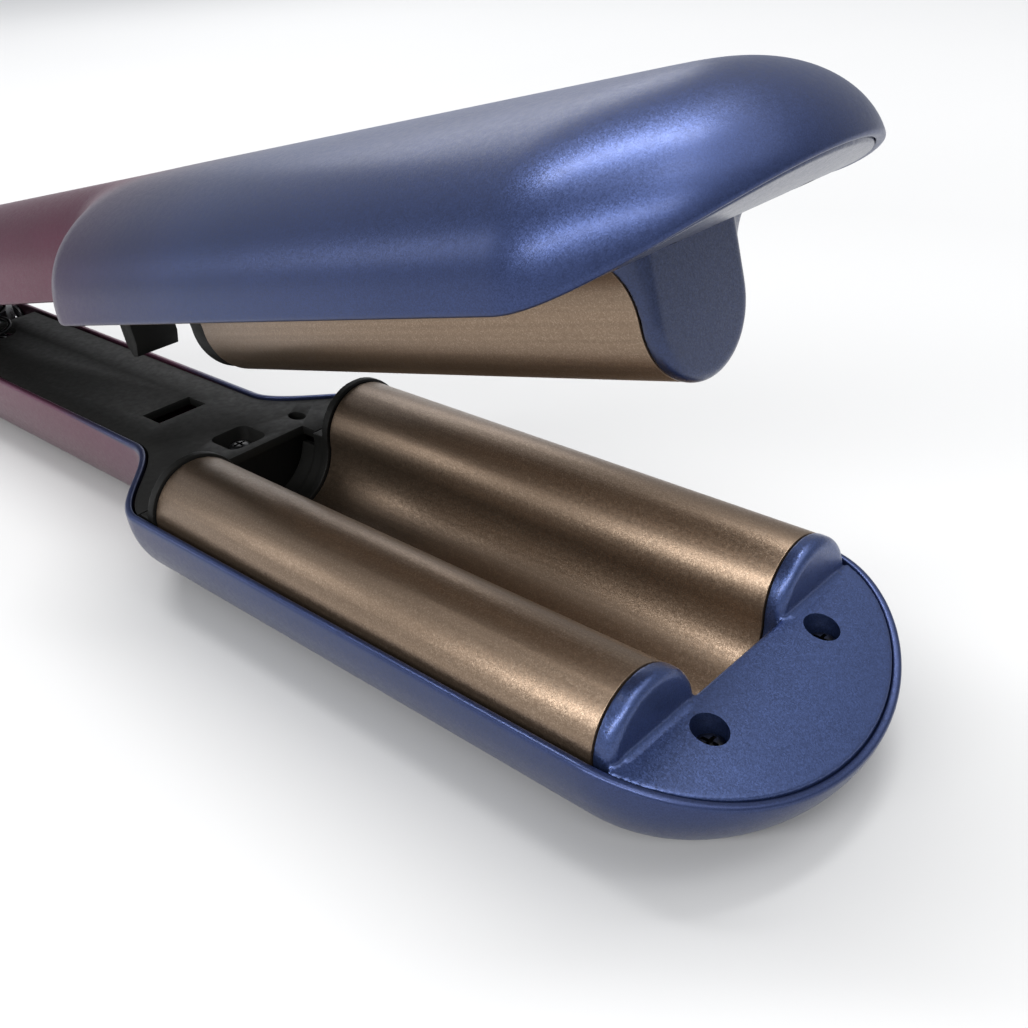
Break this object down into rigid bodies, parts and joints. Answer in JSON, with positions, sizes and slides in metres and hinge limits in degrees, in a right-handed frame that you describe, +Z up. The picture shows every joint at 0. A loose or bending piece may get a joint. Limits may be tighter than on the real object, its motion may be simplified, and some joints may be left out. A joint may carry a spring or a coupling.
{
  "type": "hair crimper",
  "caption": "Deep-wave hair crimper with two hinged arms, nesting half-barrel wave plates, a guide tab and slot, and a rear cord swivel.",
  "frame": {"origin": "on the flat underside of the lower arm, below the middle of the wave plates", "axes": "+X along the lower arm towards its tip, +Y across the arms, +Z up from the lower arm towards the upper arm"},
  "size_m": [0.3237, 0.0716, 0.1099],
  "materials": {
    "arm_spring": "blackened steel",
    "control_board": "green laminate",
    "cord_gland": "matte black",
    "display_window": "smoked clear",
    "down_button": "matte black",
    "down_switch": "matte black",
    "gland_collar": "matte black",
    "heater_lead_far": "silicone sleeve",
    "heater_lead_near": "silicone sleeve",
    "hinge_cap_far": "matte black",
    "hinge_cap_near": "matte black",
    "hinge_pin": "plain steel",
    "inlet_lead": "silicone sleeve",
    "lower_end_frame": "matte black",
    "lower_heater_far": "pale ceramic",
    "lower_heater_holder": "brown heat-proof moulding",
    "lower_heater_near": "pale ceramic",
    "lower_hinge_bracket": "plain steel",
    "lower_liner": "matte black",
    "lower_liner_screw": "blackened steel",
    "lower_shell": "satin paint with fine metallic flake, blue at the head fading to plum at the handle",
    "lower_thermal_fuse": "plain",
    "lower_tip_cap": "satin blue paint with fine metallic flake",
    "lower_tip_screw_far": "blackened steel",
    "lower_tip_screw_near": "blackened steel",
    "lower_wave_plate": "satin bronze ceramic coat",
    "power_button": "matte black",
    "power_switch": "matte black",
    "thermistor": "pale ceramic",
    "up_button": "matte black",
    "up_switch": "matte black",
    "upper_end_frame": "matte black",
    "upper_heater": "pale ceramic",
    "upper_heater_holder": "brown heat-proof moulding",
    "upper_heater_lead": "silicone sleeve",
    "upper_hinge_bracket": "plain steel",
    "upper_liner": "matte black",
    "upper_liner_screw": "blackened steel",
    "upper_shell": "satin paint with fine metallic flake, blue at the head fading to plum at the handle",
    "upper_thermal_fuse": "plain",
    "upper_tip_cap": "satin blue paint with fine metallic flake",
    "upper_tip_screw_far": "blackened steel",
    "upper_tip_screw_near": "blackened steel",
    "upper_wave_plate": "satin bronze ceramic coat"
  },
  "bodies": {
    "lower_arm": {"arm_spring": "arm_spring", "gland_collar": "gland_collar", "heater_lead_far": "heater_lead_far", "heater_lead_near": "heater_lead_near", "hinge_cap_far": "hinge_cap_far", "hinge_cap_near": "hinge_cap_near", "hinge_pin": "hinge_pin", "inlet_lead": "inlet_lead", "lower_end_frame": "lower_end_frame", "lower_heater_far": "lower_heater_far", "lower_heater_holder": "lower_heater_holder", "lower_heater_near": "lower_heater_near", "lower_hinge_bracket": "lower_hinge_bracket", "lower_liner": "lower_liner", "lower_liner_screw": "lower_liner_screw", "lower_shell": "lower_shell", "lower_thermal_fuse": "lower_thermal_fuse", "lower_tip_cap": "lower_tip_cap", "lower_tip_screw_far": "lower_tip_screw_far", "lower_tip_screw_near": "lower_tip_screw_near", "lower_wave_plate": "lower_wave_plate", "thermistor": "thermistor"},
    "upper_arm": {"control_board": "control_board", "display_window": "display_window", "down_switch": "down_switch", "power_switch": "power_switch", "up_switch": "up_switch", "upper_end_frame": "upper_end_frame", "upper_heater": "upper_heater", "upper_heater_holder": "upper_heater_holder", "upper_heater_lead": "upper_heater_lead", "upper_hinge_bracket": "upper_hinge_bracket", "upper_liner": "upper_liner", "upper_liner_screw": "upper_liner_screw", "upper_shell": "upper_shell", "upper_thermal_fuse": "upper_thermal_fuse", "upper_tip_cap": "upper_tip_cap", "upper_tip_screw_far": "upper_tip_screw_far", "upper_tip_screw_near": "upper_tip_screw_near", "upper_wave_plate": "upper_wave_plate"},
    "power_button": {"power_button": "power_button"},
    "up_button": {"up_button": "up_button"},
    "down_button": {"down_button": "down_button"},
    "cord_swivel": {"cord_gland": "cord_gland"}
  },
  "joints": [
    {"name": "arm_hinge", "type": "hinge", "parent": "lower_arm", "child": "upper_arm", "pos_m": [-0.21, 0, 0.017], "axis": [0, 1, 0], "range_deg": [0, 12.5], "stiffness_Nm_per_rad": 4, "springref_deg": -8.59, "deforming": ["arm_spring"]},
    {"name": "power_press", "type": "slide", "parent": "upper_arm", "child": "power_button", "axis": [0.2164, 0, -0.9763], "range_m": [0, 0.0006], "stiffness_N_per_m": 800, "springref_m": -0.0005},
    {"name": "up_press", "type": "slide", "parent": "upper_arm", "child": "up_button", "axis": [0.2164, 0, -0.9763], "range_m": [0, 0.0006], "stiffness_N_per_m": 800, "springref_m": -0.0005},
    {"name": "down_press", "type": "slide", "parent": "upper_arm", "child": "down_button", "axis": [0.2164, 0, -0.9763], "range_m": [0, 0.0006], "stiffness_N_per_m": 800, "springref_m": -0.0005},
    {"name": "cord_swivel_turn", "type": "hinge", "parent": "lower_arm", "child": "cord_swivel", "pos_m": [-0.232, 0, 0.011], "axis": [1, 0, 0], "continuous": true}
  ]
}
